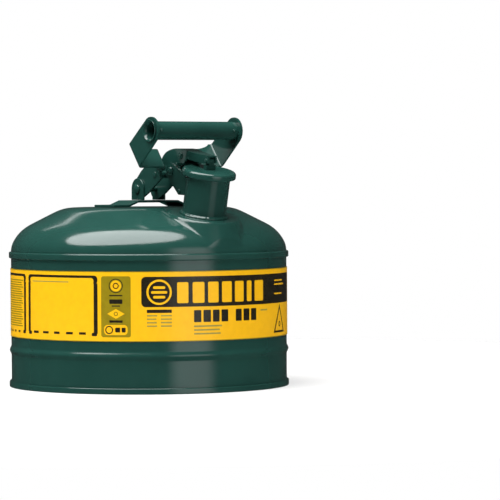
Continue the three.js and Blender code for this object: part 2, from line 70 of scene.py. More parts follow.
# Places of the parts that lie along X are (forward, up): towards the pour side, and above the floor.
HANDLE_PIVOT = (0.0, 209.4 * MM)
LEVER_PIVOT = (65.5 * MM, 228.2 * MM)
CROSS_PIN = (80.5 * MM, 207 * MM)
LEG_RIVET = (30.5 * MM, 224.6 * MM)
LEVER_RIVET = (75.3 * MM, 244.2 * MM)
STOP_ROD = (76 * MM, 235.4 * MM)
GRIP = (85 * MM, 270.2 * MM)
CAP_PIN_UP_NECK = 57.5 * MM

# ------------------------------------------------------------------ fineness of the meshes
TANK_FACETS = 320
RING_FACETS = 96
RIVET_FACETS = 48
RIB_STEPS = 28
DOME_STEP = 1.2 * MM
DOME_EASING = 21
ON_AXIS = 1e-7
SAME_PLACE = 1e-6
LONG_STRAIGHT = 4 * MM
STRAIGHT_HOLD = 0.6 * MM

# How far the front of the label, and the camera with it, is turned from the pour side.
CAMERA_TURN = math.radians(-33.5)


# ------------------------------------------------------------------ mesh helpers
def mesh_object(name, verts, faces):
    data = bpy.data.meshes.new(name)
    data.from_pydata([tuple(v) for v in verts], [], faces)
    data.validate()
    data.shade_smooth()
    obj = bpy.data.objects.new(name, data)
    scene.collection.objects.link(obj)
    return obj


def recalc_outward(obj):
    """Welds a closed mesh and turns its faces outward."""
    bm = bmesh.new()
    bm.from_mesh(obj.data)
    bmesh.ops.remove_doubles(bm, verts=bm.verts, dist=SAME_PLACE)
    bmesh.ops.recalc_face_normals(bm, faces=bm.faces)
    bm.to_mesh(obj.data)
    bm.free()


def sharpen(obj, degrees):
    """Smooth shading with the edges over this angle kept sharp."""
    obj.data.shade_smooth()
    obj.data.set_sharp_from_angle(angle=math.radians(degrees))


def arc_corners(points, radii, steps=8):
    """The line through (r, z) points with each inner corner rounded to its radius."""
    line = [Vector(points[0])]
    for i in range(1, len(points) - 1):
        corner = Vector(points[i])
        back = (Vector(points[i - 1]) - corner).normalized()
        ahead = (Vector(points[i + 1]) - corner).normalized()
        radius = radii[i - 1]
        if radius <= 0:
            line.append(corner)
            continue
        half = math.acos(max(-1, min(1, back.dot(ahead)))) / 2
        reach = radius / math.tan(half)
        centre = corner + (back + ahead).normalized() * (radius / math.sin(half))
        start = corner + back * reach - centre
        turn = start.angle_signed(corner + ahead * reach - centre)
        for k in range(steps + 1):
            spoke = start.copy()
            spoke.rotate(Matrix.Rotation(-turn * k / steps, 2))
            line.append(centre + spoke)
    line.append(Vector(points[-1]))
    return line


def held(profile):
    """The profile with a point near each end of its long straights, so they shade as straight."""
    line = []
    for a, b in zip(profile, profile[1:] + profile[:1]):
        a, b = Vector(a), Vector(b)
        line.append(a)
        if (b - a).length > LONG_STRAIGHT:
            step = (b - a).normalized() * STRAIGHT_HOLD
            line += [a + step, b - step]
    return [tuple(p) for p in line]


def lathe(name, profile, facets):
    """A closed surface turned about Z from (r, z) points. The last point joins the first."""
    verts, faces, rings = [], [], []
    profile = held([tuple(p) for p in profile])
    for r, z in profile:
        if r < ON_AXIS:
            rings.append([len(verts)] * facets)
            verts.append((0, 0, z))
            continue
        ring = []
        for k in range(facets):
            angle = 2 * math.pi * k / facets
            ring.append(len(verts))
            verts.append((r * math.cos(angle), r * math.sin(angle), z))
        rings.append(ring)
    for low, high in zip(rings, rings[1:] + rings[:1]):
        for k in range(facets):
            n = (k + 1) % facets
            loop = [low[k], low[n], high[n], high[k]]
            loop = [v for i, v in enumerate(loop) if v != loop[i - 1]]
            if len(loop) > 2:
                faces.append(loop)
    obj = mesh_object(name, verts, faces)
    recalc_outward(obj)
    return obj


def transform(obj, matrix):
    obj.data.transform(matrix)
    return obj


def neck_matrix():
    """From the neck's own frame, +Z out along its axis from the seat, to the can's."""
    place = Matrix.Translation((0, -NECK_FORWARD, NECK_UP))
    return place @ Matrix.Rotation(NECK_TILT, 4, "X")


def along_x(obj, place):
    """Lays a piece that was turned about Z along X at a (forward, up) place."""
    forward, up = place
    turn = Matrix.Rotation(math.pi / 2, 4, "Y")
    return transform(obj, Matrix.Translation((0, -forward, up)) @ turn)


def finish_piece(obj, body, slot, *nodes):
    """Gives a piece its material and body, and hides the CAD nodes that it stands for."""
    obj.data.materials.clear()
    obj.data.materials.append(FINISHES[slot])
    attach(obj, body)
    if nodes:
        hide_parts(*nodes)
    return obj


def softened(node, name, body, slot, width, segments=3, angle=34):
    """The CAD piece with its edges rounded over, as pressed sheet and cut plate have."""
    facet_weld, flat, shaded_sharp = 2e-6, math.radians(0.2), 36
    corner = math.radians(angle)
    bm = bmesh.new()
    bm.from_mesh(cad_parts[node].data)
    bmesh.ops.remove_doubles(bm, verts=bm.verts, dist=facet_weld)
    bmesh.ops.dissolve_limit(bm, angle_limit=flat, verts=bm.verts, edges=bm.edges, delimit=set())
    bmesh.ops.recalc_face_normals(bm, faces=bm.faces)
    sharp = [e for e in bm.edges if len(e.link_faces) == 2 and e.calc_face_angle(0) > corner]
    bmesh.ops.bevel(
        bm, geom=sharp, offset=width, offset_type="OFFSET", segments=segments, profile=0.5,
        affect="EDGES", clamp_overlap=True, miter_outer="ARC",
    )
    data = bpy.data.meshes.new(name)
    bm.to_mesh(data)
    bm.free()
    obj = bpy.data.objects.new(name, data)
    scene.collection.objects.link(obj)
    sharpen(obj, shaded_sharp)
    weighted = obj.modifiers.new("even_shading", "WEIGHTED_NORMAL")
    weighted.keep_sharp = True
    return finish_piece(obj, body, slot, node)


# ------------------------------------------------------------------ materials
def new_material(name):
    """A material with its nodes, links and Principled shader."""
    material = bpy.data.materials.new(name)
    material.use_nodes = True
    nodes = material.node_tree.nodes
    shader = nodes["Principled BSDF"]
    return material, nodes, material.node_tree.links, shader


def noise(nodes, links, scale, detail=2.0, roughness=0.5, stretch=None):
    """Noise in the object's own space, scale in features per metre."""
    texture = nodes.new("ShaderNodeTexNoise")
    texture.inputs["Scale"].default_value = scale
    texture.inputs["Detail"].default_value = detail
    texture.inputs["Roughness"].default_value = roughness
    place = nodes.new("ShaderNodeTexCoord")
    if stretch is None:
        links.new(place.outputs["Object"], texture.inputs["Vector"])
        return texture
    mapping = nodes.new("ShaderNodeMapping")
    mapping.inputs["Scale"].default_value = stretch
    links.new(place.outputs["Object"], mapping.inputs["Vector"])
    links.new(mapping.outputs["Vector"], texture.inputs["Vector"])
    return texture


def ramp(nodes, links, source, stops):
    """A colour ramp over a 0 to 1 value."""
    block = nodes.new("ShaderNodeValToRGB")
    elements = block.color_ramp.elements
    while len(elements) < len(stops):
        elements.new(0.5)
    for element, (position, colour) in zip(elements, stops):
        element.position = position
        element.color = (*colour, 1)
    links.new(source, block.inputs["Fac"])
    return block.outputs["Color"]


def spread(nodes, links, source, low, high, start=0.0, end=1.0):
    """Maps a value between start and end onto low to high."""
    block = nodes.new("ShaderNodeMapRange")
    for socket, value in (("From Min", start), ("From Max", end), ("To Min", low), ("To Max", high)):
        block.inputs[socket].default_value = value
    links.new(source, block.inputs["Value"])
    return block.outputs["Result"]


def bump(nodes, links, source, depth, normal=None):
    """Relief of a depth in metres, laid over another relief where one is given."""
    block = nodes.new("ShaderNodeBump")
    block.inputs["Distance"].default_value = depth
    block.inputs["Strength"].default_value = 1.0
    links.new(source, block.inputs["Height"])
    if normal is not None:
        links.new(normal, block.inputs["Normal"])
    return block.outputs["Normal"]


def enamel_material(name):
    """Dark green baked enamel: slight orange peel, faint handling haze, colour a little uneven."""
    peel, wave = 0.000012, 0.000018
    material, nodes, links, shader = new_material(name)
    mottle = noise(nodes, links, 22, 3, 0.55)
    colour = ramp(nodes, links, mottle.outputs["Fac"], [
        (0.3, (0.0098, 0.0450, 0.0362)),
        (0.7, (0.0122, 0.0525, 0.0425)),
    ])
    links.new(colour, shader.inputs["Base Color"])
    haze = noise(nodes, links, 60, 4, 0.6)
    roughness = spread(nodes, links, haze.outputs["Fac"], 0.10, 0.19, 0.35, 0.7)
    links.new(roughness, shader.inputs["Roughness"])
    fine = noise(nodes, links, 420, 2, 0.5)
    broad = noise(nodes, links, 75, 1, 0.4)
    normal = bump(nodes, links, broad.outputs["Fac"], wave)
    normal = bump(nodes, links, fine.outputs["Fac"], peel, normal)
    links.new(normal, shader.inputs["Normal"])
    shader.inputs["IOR"].default_value = 1.5
    return material


def ink_material(name, dark, light, gloss=0.34):
    """Printed vinyl: a faint uneven lay of ink over an almost flat film."""
    grain_depth = 0.000008
    material, nodes, links, shader = new_material(name)
    patch = noise(nodes, links, 130, 3, 0.6)
    colour = ramp(nodes, links, patch.outputs["Fac"], [(0.3, dark), (0.7, light)])
    links.new(colour, shader.inputs["Base Color"])
    grain = noise(nodes, links, 900, 2, 0.6)
    roughness = spread(nodes, links, grain.outputs["Fac"], gloss - 0.05, gloss + 0.08, 0.3, 0.7)
    links.new(roughness, shader.inputs["Roughness"])
    links.new(bump(nodes, links, grain.outputs["Fac"], grain_depth), shader.inputs["Normal"])
    shader.inputs["Specular IOR Level"].default_value = 0.35
    return material


def steel_material(name, colour_low, colour_high, rough_low, rough_high, streak):
    """Plain or plated steel. Streak stretches its marks along the can's axes."""
    streak_depth = 0.00002
    material, nodes, links, shader = new_material(name)
    streaks = noise(nodes, links, 160, 3, 0.65, streak)
    colour = ramp(nodes, links, streaks.outputs["Fac"], [(0.3, colour_low), (0.7, colour_high)])
    links.new(colour, shader.inputs["Base Color"])
    roughness = spread(nodes, links, streaks.outputs["Fac"], rough_low, rough_high, 0.3, 0.7)
    links.new(roughness, shader.inputs["Roughness"])
    links.new(bump(nodes, links, streaks.outputs["Fac"], streak_depth), shader.inputs["Normal"])
    shader.inputs["Metallic"].default_value = 1.0
    return material


def rubber_material(name):
    """Matt black rubber with a faint grey bloom and fine pores."""
    pore_depth = 0.00004
    material, nodes, links, shader = new_material(name)
    bloom = noise(nodes, links, 90, 4, 0.6)
    colour = ramp(nodes, links, bloom.outputs["Fac"], [
        (0.3, (0.012, 0.012, 0.012)),
        (0.75, (0.03, 0.03, 0.029)),
    ])
    links.new(colour, shader.inputs["Base Color"])
    pores = noise(nodes, links, 1300, 3, 0.6)
    roughness = spread(nodes, links, pores.outputs["Fac"], 0.55, 0.8)
    links.new(roughness, shader.inputs["Roughness"])
    links.new(bump(nodes, links, pores.outputs["Fac"], pore_depth), shader.inputs["Normal"])
    return material


ENAMEL = enamel_material("green_enamel")
YELLOW = ink_material("label_yellow", (0.84, 0.435, 0.0004), (0.90, 0.475, 0.0008))
BLACK = ink_material("label_black", (0.011, 0.009, 0.005), (0.020, 0.017, 0.009), 0.3)
OLIVE = ink_material("label_olive", (0.235, 0.175, 0.0006), (0.28, 0.21, 0.0008))
GREY = ink_material("label_grey", (0.30, 0.245, 0.04), (0.38, 0.31, 0.05), 0.36)
ZINC = steel_material("zinc_plate", (0.42, 0.42, 0.40), (0.62, 0.62, 0.59), 0.28, 0.45, (1, 1, 1))
WIRE = steel_material("spring_wire", (0.36, 0.36, 0.36), (0.55, 0.55, 0.55), 0.22, 0.36, (0.3, 1, 1))
SCREEN = steel_material("screen_wire", (0.35, 0.34, 0.32), (0.55, 0.54, 0.5), 0.3, 0.5, (1, 1, 1))
RUBBER = rubber_material("gasket_rubber")

# Slot names, and the material of each.
FINISHES = {
    "green_enamel": ENAMEL,
    "label_vinyl": YELLOW,
    "zinc_steel": ZINC,
    "spring_steel": WIRE,
    "screen_steel": SCREEN,
    "gasket_rubber": RUBBER,
}


# ------------------------------------------------------------------ tank
def body_shell():
    """The wall, with one rib low down that swells and falls as a cosine."""
    low = 1.8 * MM
    outer = [(WALL_R, low)]
    for k in range(RIB_STEPS + 1):
        share = 2 * k / RIB_STEPS - 1
        swell = RIB_BULGE * (1 + math.cos(math.pi * share)) / 2
        outer.append((WALL_R + swell, RIB_Z + RIB_HALF * share))
    outer.append((WALL_R, WALL_HIGH.z))
    inner = [(r - SHEET, z) for r, z in reversed(outer)]
    obj = lathe("wall", outer + inner, TANK_FACETS)
    sharpen(obj, 60)
    return finish_piece(obj, "can_body", "green_enamel", "body_shell")


def bottom_pan():
    """The recessed bottom and the rolled seam that the can stands on."""
    skirt = WALL_R - SHEET - 0.4 * MM
    roll = WALL_R + 0.3 * MM
    floor, seam_top, seam_inside = 7 * MM, 6.2 * MM, 1.4 * MM
    outer = arc_corners(
        [(skirt - SHEET, floor), (skirt - SHEET, 0), (SEAM_R, 0), (SEAM_R, seam_top), (roll, seam_top)],
        [0.7 * MM, 0.9 * MM, 1.1 * MM], steps=6,
    )
    profile = [(0, floor)] + [tuple(p) for p in outer]
    profile += [(roll, seam_inside), (skirt, seam_inside), (skirt, floor + SHEET), (0, floor + SHEET)]
    obj = lathe("bottom_chime", profile, TANK_FACETS)
    sharpen(obj, 50)
    return finish_piece(obj, "can_body", "green_enamel", "bottom_pan")


def resampled(line, step):
    """Points at even steps along a line, its ends kept."""
    lengths = [(b - a).length for a, b in zip(line, line[1:])]
    count = round(sum(lengths) / step)
    points, leg, done = [line[0]], 0, 0.0
    for k in range(1, count):
        goal = sum(lengths) * k / count
        while done + lengths[leg] < goal:
            done += lengths[leg]
            leg += 1
        points.append(line[leg].lerp(line[leg + 1], (goal - done) / lengths[leg]))
    return points + [line[-1]]


def dome_line():
    """The dome's outer line from the crown's centre down to the neck above the seam."""
    line = arc_corners([
        (0, CROWN_Z), (90.3 * MM, CROWN_Z - 0.1 * MM), (118 * MM, 176.1 * MM),
        (140.9 * MM, 164.7 * MM), (WALL_R, 148.3 * MM), (WALL_R, 144.6 * MM),
    ], [44 * MM, 0, 42 * MM, 4 * MM], steps=24)
    line = resampled(line, DOME_STEP)
    for _ in range(DOME_EASING):
        eased = [(a + 2 * b + c) / 4 for a, b, c in zip(line, line[1:], line[2:])]
        line = [line[0]] + eased + [line[-1]]
    return line


def soft_max(a, b, width):
    """The larger of two heights, blended where they are closer than width."""
    h = max(width - abs(a - b), 0) / width
    return max(a, b) + h * h * width / 4


def soft_min(a, b, width):
    return -soft_max(-a, -b, width)


def seat_height(x, y, dome):
    """The dome's height with the spout's flat seat pressed into its shoulder."""
    skirt_inset, skirt_fall, skirt_blend = 0.8 * MM, 2.6, 1.6 * MM
    pocket_inset, pocket_rise, pocket_blend = 1.5 * MM, 0.6, 8.0 * MM
    ahead = -y - NECK_FORWARD
    plane = NECK_UP - ahead * math.tan(NECK_TILT)
    out = math.hypot(x, ahead / math.cos(NECK_TILT))
    skirt = plane - max(out - SEAT_R + skirt_inset, 0) * skirt_fall
    pocket = plane + max(out - SEAT_R + pocket_inset, 0) * pocket_rise
    return soft_max(skirt, soft_min(dome, pocket, pocket_blend), skirt_blend)


def dome_angles():
    """Angles round the can, three times closer together around the spout."""
    fine, coarse = math.radians(0.5), math.radians(1.5)
    half = math.radians(36)
    front = -math.pi / 2
    count = round(2 * half / fine)
    angles = [front - half + 2 * half * k / count for k in range(count)]
    rest = 2 * math.pi - 2 * half
    count = round(rest / coarse)
    return angles + [front + half + rest * k / count for k in range(count)]


def dome_rows():
    """The (r, z) rows of the dome's mesh, few of them on the flat crown, and the seam's under them."""
    fine_from, coarse_step = 60 * MM, 6
    rows = [(p.x, p.y) for k, p in enumerate(dome_line()) if p.x > fine_from or k % coarse_step == 0]
    seam_neck, seam_top = 144.4 * MM, 143.1 * MM
    seam = arc_corners([
        (WALL_R, seam_neck), (WALL_R, seam_top), (SEAM_R, seam_top), (SEAM_R, DOME_LOW.z),
        (WALL_R + 0.35 * MM, DOME_LOW.z),
    ], [0.7 * MM, 1.1 * MM, 1.1 * MM], steps=6)
    return rows + [(p.x, p.y) for p in seam]


def cut_neck_hole(obj):
    """Takes away the dome inside the neck, a little less than the neck covers."""
    hole = NECK_R - 1.0 * MM
    inside = neck_matrix().inverted()
    bm = bmesh.new()
    bm.from_mesh(obj.data)
    middles = [(face, face.calc_center_median()) for face in bm.faces]
    gone = [face for face, m in middles if (inside @ m).xy.length < hole and m.y < 0]
    bmesh.ops.delete(bm, geom=gone, context="FACES")
    bmesh.ops.recalc_face_normals(bm, faces=bm.faces)
    bm.to_mesh(obj.data)
    bm.free()


def top_dome():
    """The pressed top, its seat for the spout, and the upper seam."""
    seat_from = 150 * MM
    rows, angles = dome_rows(), dome_angles()
    verts, faces = [(0, 0, rows[0][1])], []
    count = len(angles)
    for r, z in rows[1:]:
        for angle in angles:
            x, y = r * math.cos(angle), r * math.sin(angle)
            verts.append((x, y, seat_height(x, y, z) if z > seat_from else z))
    for k in range(count):
        faces.append((0, 1 + k, 1 + (k + 1) % count))
    for row in range(len(rows) - 2):
        a, b = 1 + row * count, 1 + (row + 1) * count
        for k in range(count):
            n = (k + 1) % count
            faces.append((a + k, b + k, b + n, a + n))
    obj = mesh_object("dome", verts, faces)
    cut_neck_hole(obj)
    thick = obj.modifiers.new("sheet", "SOLIDIFY")
    thick.thickness = 0.8 * MM
    thick.offset = -1
    return finish_piece(obj, "can_body", "green_enamel", "top_dome")


# ------------------------------------------------------------------ label
# Inks of the printed marks, as places in this list.
LABEL_INKS = (YELLOW, BLACK, OLIVE, GREY)
PAPER, INK, DULL, FAINT = range(len(LABEL_INKS))
DEGREE = math.radians(1) * LABEL_R / MM  # millimetres of label in one degree round the can


def label_band():
    gap = LABEL_R - 0.4 * MM
    low, high = LABEL_LOW.z, LABEL_HIGH.z
    obj = lathe("label", [(gap, low), (LABEL_R, low), (LABEL_R, high), (gap, high)], TANK_FACETS)
    sharpen(obj, 50)
    return finish_piece(obj, "can_body", "label_vinyl", "label_band")


class Print:
    """Flat printed marks laid on the label. Places are degrees round the can and millimetres up."""

    def __init__(self, turn):
        self.turn = turn
        self.verts, self.faces, self.inks = [], [], []

    def point(self, degrees, up, layer):
        film, layer_step = 0.03, 0.02
        angle = math.radians(degrees) + self.turn
        r = LABEL_R + (film + layer_step * layer) * MM
        self.verts.append((r * math.sin(angle), -r * math.cos(angle), up * MM))
        return len(self.verts) - 1

    def patch(self, columns, ink, layer=0):
        """A filled shape from (degrees, low, high) columns."""
        bottom = [self.point(a, low, layer) for a, low, high in columns]
        top = [self.point(a, high, layer) for a, low, high in columns]
        for k in range(len(columns) - 1):
            self.faces.append((bottom[k], bottom[k + 1], top[k + 1], top[k]))
            self.inks.append(ink)

    def box(self, left, right, low, high, ink, layer=0, corner=0.0):
        """A bar, with its corners rounded to a radius in millimetres."""
        longest, corner_steps = 1.5, 5
        count = max(2, round((right - left) / longest))
        stops = [left + (right - left) * k / count for k in range(count + 1)]
        if corner > 0:
            reach = corner / DEGREE
            ends = [
                reach * (1 - math.cos(math.pi / 2 * k / corner_steps)) for k in range(corner_steps + 1)
            ]
            middle = [stop for stop in stops if left + reach < stop < right - reach]
            stops = [left + e for e in ends] + middle + [right - e for e in reversed(ends)]
        columns = []
        for a in stops:
            edge = min(a - left, right - a) * DEGREE
            cut = corner - math.sqrt(max(corner ** 2 - (corner - min(edge, corner)) ** 2, 0))
            columns.append((a, low + cut, high - cut))
        self.patch(columns, ink, layer)

    def row(self, spans, low, high, ink, layer=0, corner=0.0):
        """Bars side by side, one for each (left, right) span."""
        for left, right in spans:
            self.box(left, right, low, high, ink, layer, corner)

    def ring(self, middle, up, outer, inner, ink, layer=0):
        """A ring from its radii in millimetres, or nearly a disc where the inner one is tiny."""
        count = 40
        rings = []
        for radius in (inner, outer):
            rings.append([self.point(
                middle + radius * math.cos(2 * math.pi * k / count) / DEGREE,
                up + radius * math.sin(2 * math.pi * k / count), layer,
            ) for k in range(count)])
        for k in range(count):
            n = (k + 1) % count
            self.faces.append((rings[1][k], rings[1][n], rings[0][n], rings[0][k]))
            self.inks.append(ink)

    def wedge(self, middle, low, high, half, ink, layer=0):
        """A triangle on a level base, or upside down where high is under low."""
        count = 12
        columns = []
        for k in range(-count, count + 1):
            tip = low + (high - low) * (1 - abs(k) / count)
            columns.append((middle + half * k / count / DEGREE, min(low, tip), max(low, tip)))
        self.patch(columns, ink, layer)

    def border(self, left, right):
        """A border with rounded upper corners, its sides ending above the row of dashes."""
        low, high = 59.6, 121.7
        side, bar = 1.7, 2.6
        head, head_lap, foot_gap = 9, 8, 2.5
        foot_in, foot_more, foot_high = 0.3, 0.6, 3.4
        self.box(left, right, high - head, high, INK, 0, 4.0)
        self.box(left + side, right - side, high - head, high - bar, PAPER, 1, 3.0)
        self.box(left, left + side, low + foot_gap, high - head_lap, INK)
        self.box(right - side, right, low + foot_gap, high - head_lap, INK)
        self.box(left + side, right - side, low + foot_gap, high - head_lap, PAPER, 0)
        for foot in (left + foot_in, right - side - foot_in - foot_more):
            self.box(foot, foot + side + foot_more, low, low + foot_high, INK, 1, 1.2)

    def object(self, name):
        """The marks as one object that rides on the can."""
        obj = mesh_object(name, self.verts, self.faces)
        for ink in LABEL_INKS:
            obj.data.materials.append(ink)
        for polygon, ink in zip(obj.data.polygons, self.inks):
            polygon.material_index = ink
        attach(obj, "can_body")
        return obj


def text_rows(sheet, left, right, low, high, rows, ink, share=0.45, ragged=0.12):
    """Rows that stand in for small print: plain bars with ragged right ends and no letters."""
    pitch = (high - low) / rows
    for row in range(rows):
        up = high - pitch * (row + 0.5)
        end = right - (right - left) * ragged * ((row * 5) % 7) / 7
        sheet.box(left, end, up - pitch * share / 2, up + pitch * share / 2, ink, 2)


# Where rows of bars start and end on the label, in degrees from its front.
LEFT_DASHES = ((-83.5, -81), (-78.5, -76), (-73, -71), (-68, -66))
RIGHT_DASHES = ((-54.2, -50.9), (-48.1, -44.7), (-41.7, -38.7), (-35.4, -32.1), (-29.2, -26.1))
MARK_BLOCKS = ((-13.6, -11.6), (-11.0, -9.4))
TITLE_BLOCKS = (
    (11.2, 15.8), (17.6, 22.6), (24.2, 28.9), (30.5, 35.2), (36.8, 41.4), (43.2, 45.9), (47.8, 53.4),
)
SUBTITLE_BLOCKS = (
    (18.1, 21.2), (22.1, 25.4), (26.3, 29.3), (30.2, 33.4), (37.2, 40.3), (41.3, 44.6), (45.6, 48.8),
)


def bordered_panels(sheet):
    """Two bordered panels: one of small rows, and one left clear but for a line at its top."""
    sheet.border(-86, -60.4)
    sheet.row(LEFT_DASHES, 60.2, 62.4, INK, 2)
    text_rows(sheet, -83.5, -62.6, 66.0, 116.0, 21, DULL, 0.5)
    sheet.border(-58.2, -20.9)
    sheet.row(RIGHT_DASHES, 60.9, 63.4, INK, 2)
    text_rows(sheet, -55, -34, 113.3, 116.3, 1, FAINT, 0.4)


def mark_column(sheet):
    """A dull column with plain rings, bars and a diamond, from the top down."""
    middle, left, right = -13.3, -16.0, -10.6
    sheet.box(-19.4, -7.3, 58.6, 121.0, DULL, 0, 2.5)
    sheet.ring(middle, 111.2, 7.4, 6.5, INK, 1)
    sheet.ring(middle, 111.2, 5.6, 0.02, PAPER, 1)
    sheet.ring(middle, 111.2, 3.2, 2.1, INK, 2)
    sheet.box(left, right, 100.6, 102.0, INK, 1)
    sheet.box(left, right, 92.8, 97.4, INK, 1, 1.0)
    sheet.box(-15.0, -11.6, 90.0, 91.2, INK, 1)
    sheet.wedge(middle, 82.6, 87.6, 9.2, PAPER, 1)
    sheet.wedge(middle, 82.6, 77.6, 9.2, PAPER, 1)
    sheet.ring(middle, 82.6, 2.3, 1.2, DULL, 2)
    sheet.box(left, right, 73.6, 76.0, INK, 1)
    sheet.box(-18.2, -8.6, 61.0, 71.2, PAPER, 1, 3.6)
    sheet.ring(-16.1, 66.1, 4.2, 3.0, INK, 2)
    sheet.row(MARK_BLOCKS, 63.6, 68.6, INK, 2, 0.9)


def title_panel(sheet):
    """A dark bar with a barred disc and a row of blocks, and smaller rows and a triangle below."""
    disc = 4.0
    sheet.box(-3.1, 84, 89.4, 120.4, INK, 0, 4.5)
    sheet.ring(disc, 104.6, 13.0, 10.9, PAPER, 1)
    for low, reach in ((98.2, 2.4), (103.1, 3.2), (108.0, 2.4)):
        sheet.box(disc - reach, disc + reach, low, low + 2.7, PAPER, 1, 1.2)
    sheet.row(TITLE_BLOCKS, 93.2, 114.6, PAPER, 1, 1.4)
    for low, reach in ((112.4, 9), (108.4, 11), (98.6, 8)):
        sheet.box(62.5, 62.5 + reach, low, low + 1.5, PAPER, 1)
    sheet.box(-0.9, 9.0, 83.4, 86.8, INK, 0)
    text_rows(sheet, -0.9, 3.2, 68.2, 82.4, 4, FAINT, 0.42)
    text_rows(sheet, 4.6, 9.0, 68.2, 82.4, 4, FAINT, 0.42, 0)
    sheet.row(SUBTITLE_BLOCKS, 73.4, 85.8, INK, 0, 0.8)
    text_rows(sheet, 18.1, 30.4, 59.6, 71.2, 3, FAINT, 0.42)
    sheet.box(51.6, 56.4, 82.6, 84.2, FAINT, 0)
    triangle = 68.0
    sheet.wedge(triangle, 58.2, 88.4, 15.6, INK, 0)
    sheet.wedge(triangle, 60.4, 83.4, 11.8, PAPER, 1)
    sheet.ring(triangle, 67.2, 2.9, 1.5, INK, 2)


def label_print(name, turn):
    """A generic label layout: thin dull bars of painted shade along its top and bottom edges, then
    borders, bars, rings and blocks where a real one has its wording.
    """
    sheet = Print(turn)
    # Painted shade: a thin dull bar along the label's top edge and one along its bottom edge, where the
    # label meets the can.
    for low in (LABEL_LOW.z / MM + 0.1, LABEL_HIGH.z / MM - 0.7):
        sheet.box(-88, 92, low, low + 0.6, DULL, 0)
    bordered_panels(sheet)
    mark_column(sheet)
    title_panel(sheet)
    return sheet.object(name)


# ------------------------------------------------------------------ spout and cap
# The weld bead's ripples: size in millimetres, count round the neck, and where each starts.
BEAD_RIPPLES = ((0.10, 47, 0.0), (0.07, 29, 1.3))


def on_neck(name, points, radii, facets=RING_FACETS, steps=6):
    """A lathed piece on the neck's axis, from (r, z) points and corner radii in millimetres."""
    line = arc_corners([(r * MM, z * MM) for r, z in points], [q * MM for q in radii], steps)
    obj = lathe(name, [tuple(p) for p in line], facets)
    sharpen(obj, 40)
    return transform(obj, neck_matrix())


def weld_bead():
    """The bead at the neck's foot, rippled on its outer side."""
    bead = on_neck("weld_bead", [
        (23.0, 2.9), (24.0, 2.7), (25.4, 1.3), (26.0, 0.25), (23.0, 0.25), (23.0, 1.5),
    ], [0.8, 1.4, 0.2, 0], facets=160, steps=5)
    rippled_from, deepest, rise = 23.6 * MM, -0.1, 0.8
    for vertex in bead.data.vertices:
        local = neck_matrix().inverted() @ vertex.co
        angle = math.atan2(local.y, local.x)
        ripple = sum(size * math.sin(count * angle + start) for size, count, start in BEAD_RIPPLES)
        out = local.xy.length
        if out > rippled_from:
            local.xy = local.xy * (1 + ripple * MM / out)
            local.z += max(ripple, deepest) * MM * rise
        vertex.co = neck_matrix() @ local
    return finish_piece(bead, "can_body", "green_enamel", "neck_weld_bead")


def spout_parts():
    """The neck and its bead, and everything turned that closes it."""
    neck = on_neck("neck", [
        (21.3, 20), (21.3, -7), (22.8, -7), (22.8, 42.0),
        (24.2, 42.6), (24.2, 45.1), (21.3, 45.1), (21.3, 30),
    ], [0, 0, 0.8, 0.6, 1.0, 0.8], facets=128)
    finish_piece(neck, "can_body", "green_enamel", "spout_neck")
    weld_bead()
    cap = on_neck("cap", [
        (0, 48.3), (28.25, 48.3), (28.25, 41.0), (25.55, 41.0), (25.55, 46.9), (0, 46.9),
    ], [3.4, 1.3, 0.8, 0.5], facets=144, steps=10)
    finish_piece(cap, "cap_and_lever", "green_enamel", "cap_disc")
    gasket = on_neck("gasket", [(0, 46.6), (25.2, 46.6), (25.2, 45.5), (0, 45.5)], [0.2, 0.5])
    finish_piece(gasket, "cap_and_lever", "gasket_rubber", "cap_gasket")
    retainer = on_neck("retainer_plate", [(0, 45.2), (16.6, 45.2), (16.6, 44.0), (0, 44.0)], [0.1, 0.6])
    finish_piece(retainer, "cap_and_lever", "zinc_steel", "gasket_retainer")
    ring = on_neck("screen_ring", [
        (20.0, 43.2), (21.0, 43.2), (21.0, 41.9), (18.0, 41.9), (18.0, 43.2), (20.0, 43.2),
    ], [0.3, 0.1, 0.5, 0.5], steps=4)
    finish_piece(ring, "can_body", "zinc_steel", "arrester_retaining_ring")


def screen_basket():
    """Woven wire cloth: two families of wires wound up the basket's wall, and a plain floor."""
    top, low, radius = 41.5 * MM, -55 * MM, 19.7 * MM
    wires, turns, steps = 44, 2.1, 60
    wire_r, weave_depth = 0.26, 0.22 * MM
    corners = ((-wire_r, 0.0), (0.0, wire_r), (wire_r, 0.0), (0.0, -wire_r))
    verts, faces = [], []
    for hand in (1, -1):
        for wire in range(wires):
            start = len(verts)
            for k in range(steps + 1):
                share = k / steps
                angle = 2 * math.pi * (wire / wires + hand * turns * share)
                phase = 2 * math.pi * wires * turns * share * 2 + math.pi * wire
                weave = weave_depth * math.cos(phase) * hand
                z = low + (top - low) * share
                for side, rise in corners:
                    r = radius + weave + rise * MM
                    twist = angle + side * MM / radius
                    verts.append((r * math.cos(twist), r * math.sin(twist), z))
            for k in range(steps):
                a, b = start + 4 * k, start + 4 * (k + 1)
                for j in range(4):
                    n = (j + 1) % 4
                    faces.append((a + j, a + n, b + n, b + j))
            faces.append(tuple(start + j for j in range(4)))
            faces.append(tuple(start + 4 * steps + j for j in reversed(range(4))))
    obj = mesh_object("screen_wall", verts, faces)
    recalc_outward(obj)
    transform(obj, neck_matrix())
    finish_piece(obj, "can_body", "screen_steel", "flame_arrester_screen")
    floor = on_neck("screen_floor", [(0, -54.2), (19.9, -54.2), (19.9, -55), (0, -55)], [0.2, 0.3])
    finish_piece(floor, "can_body", "screen_steel")


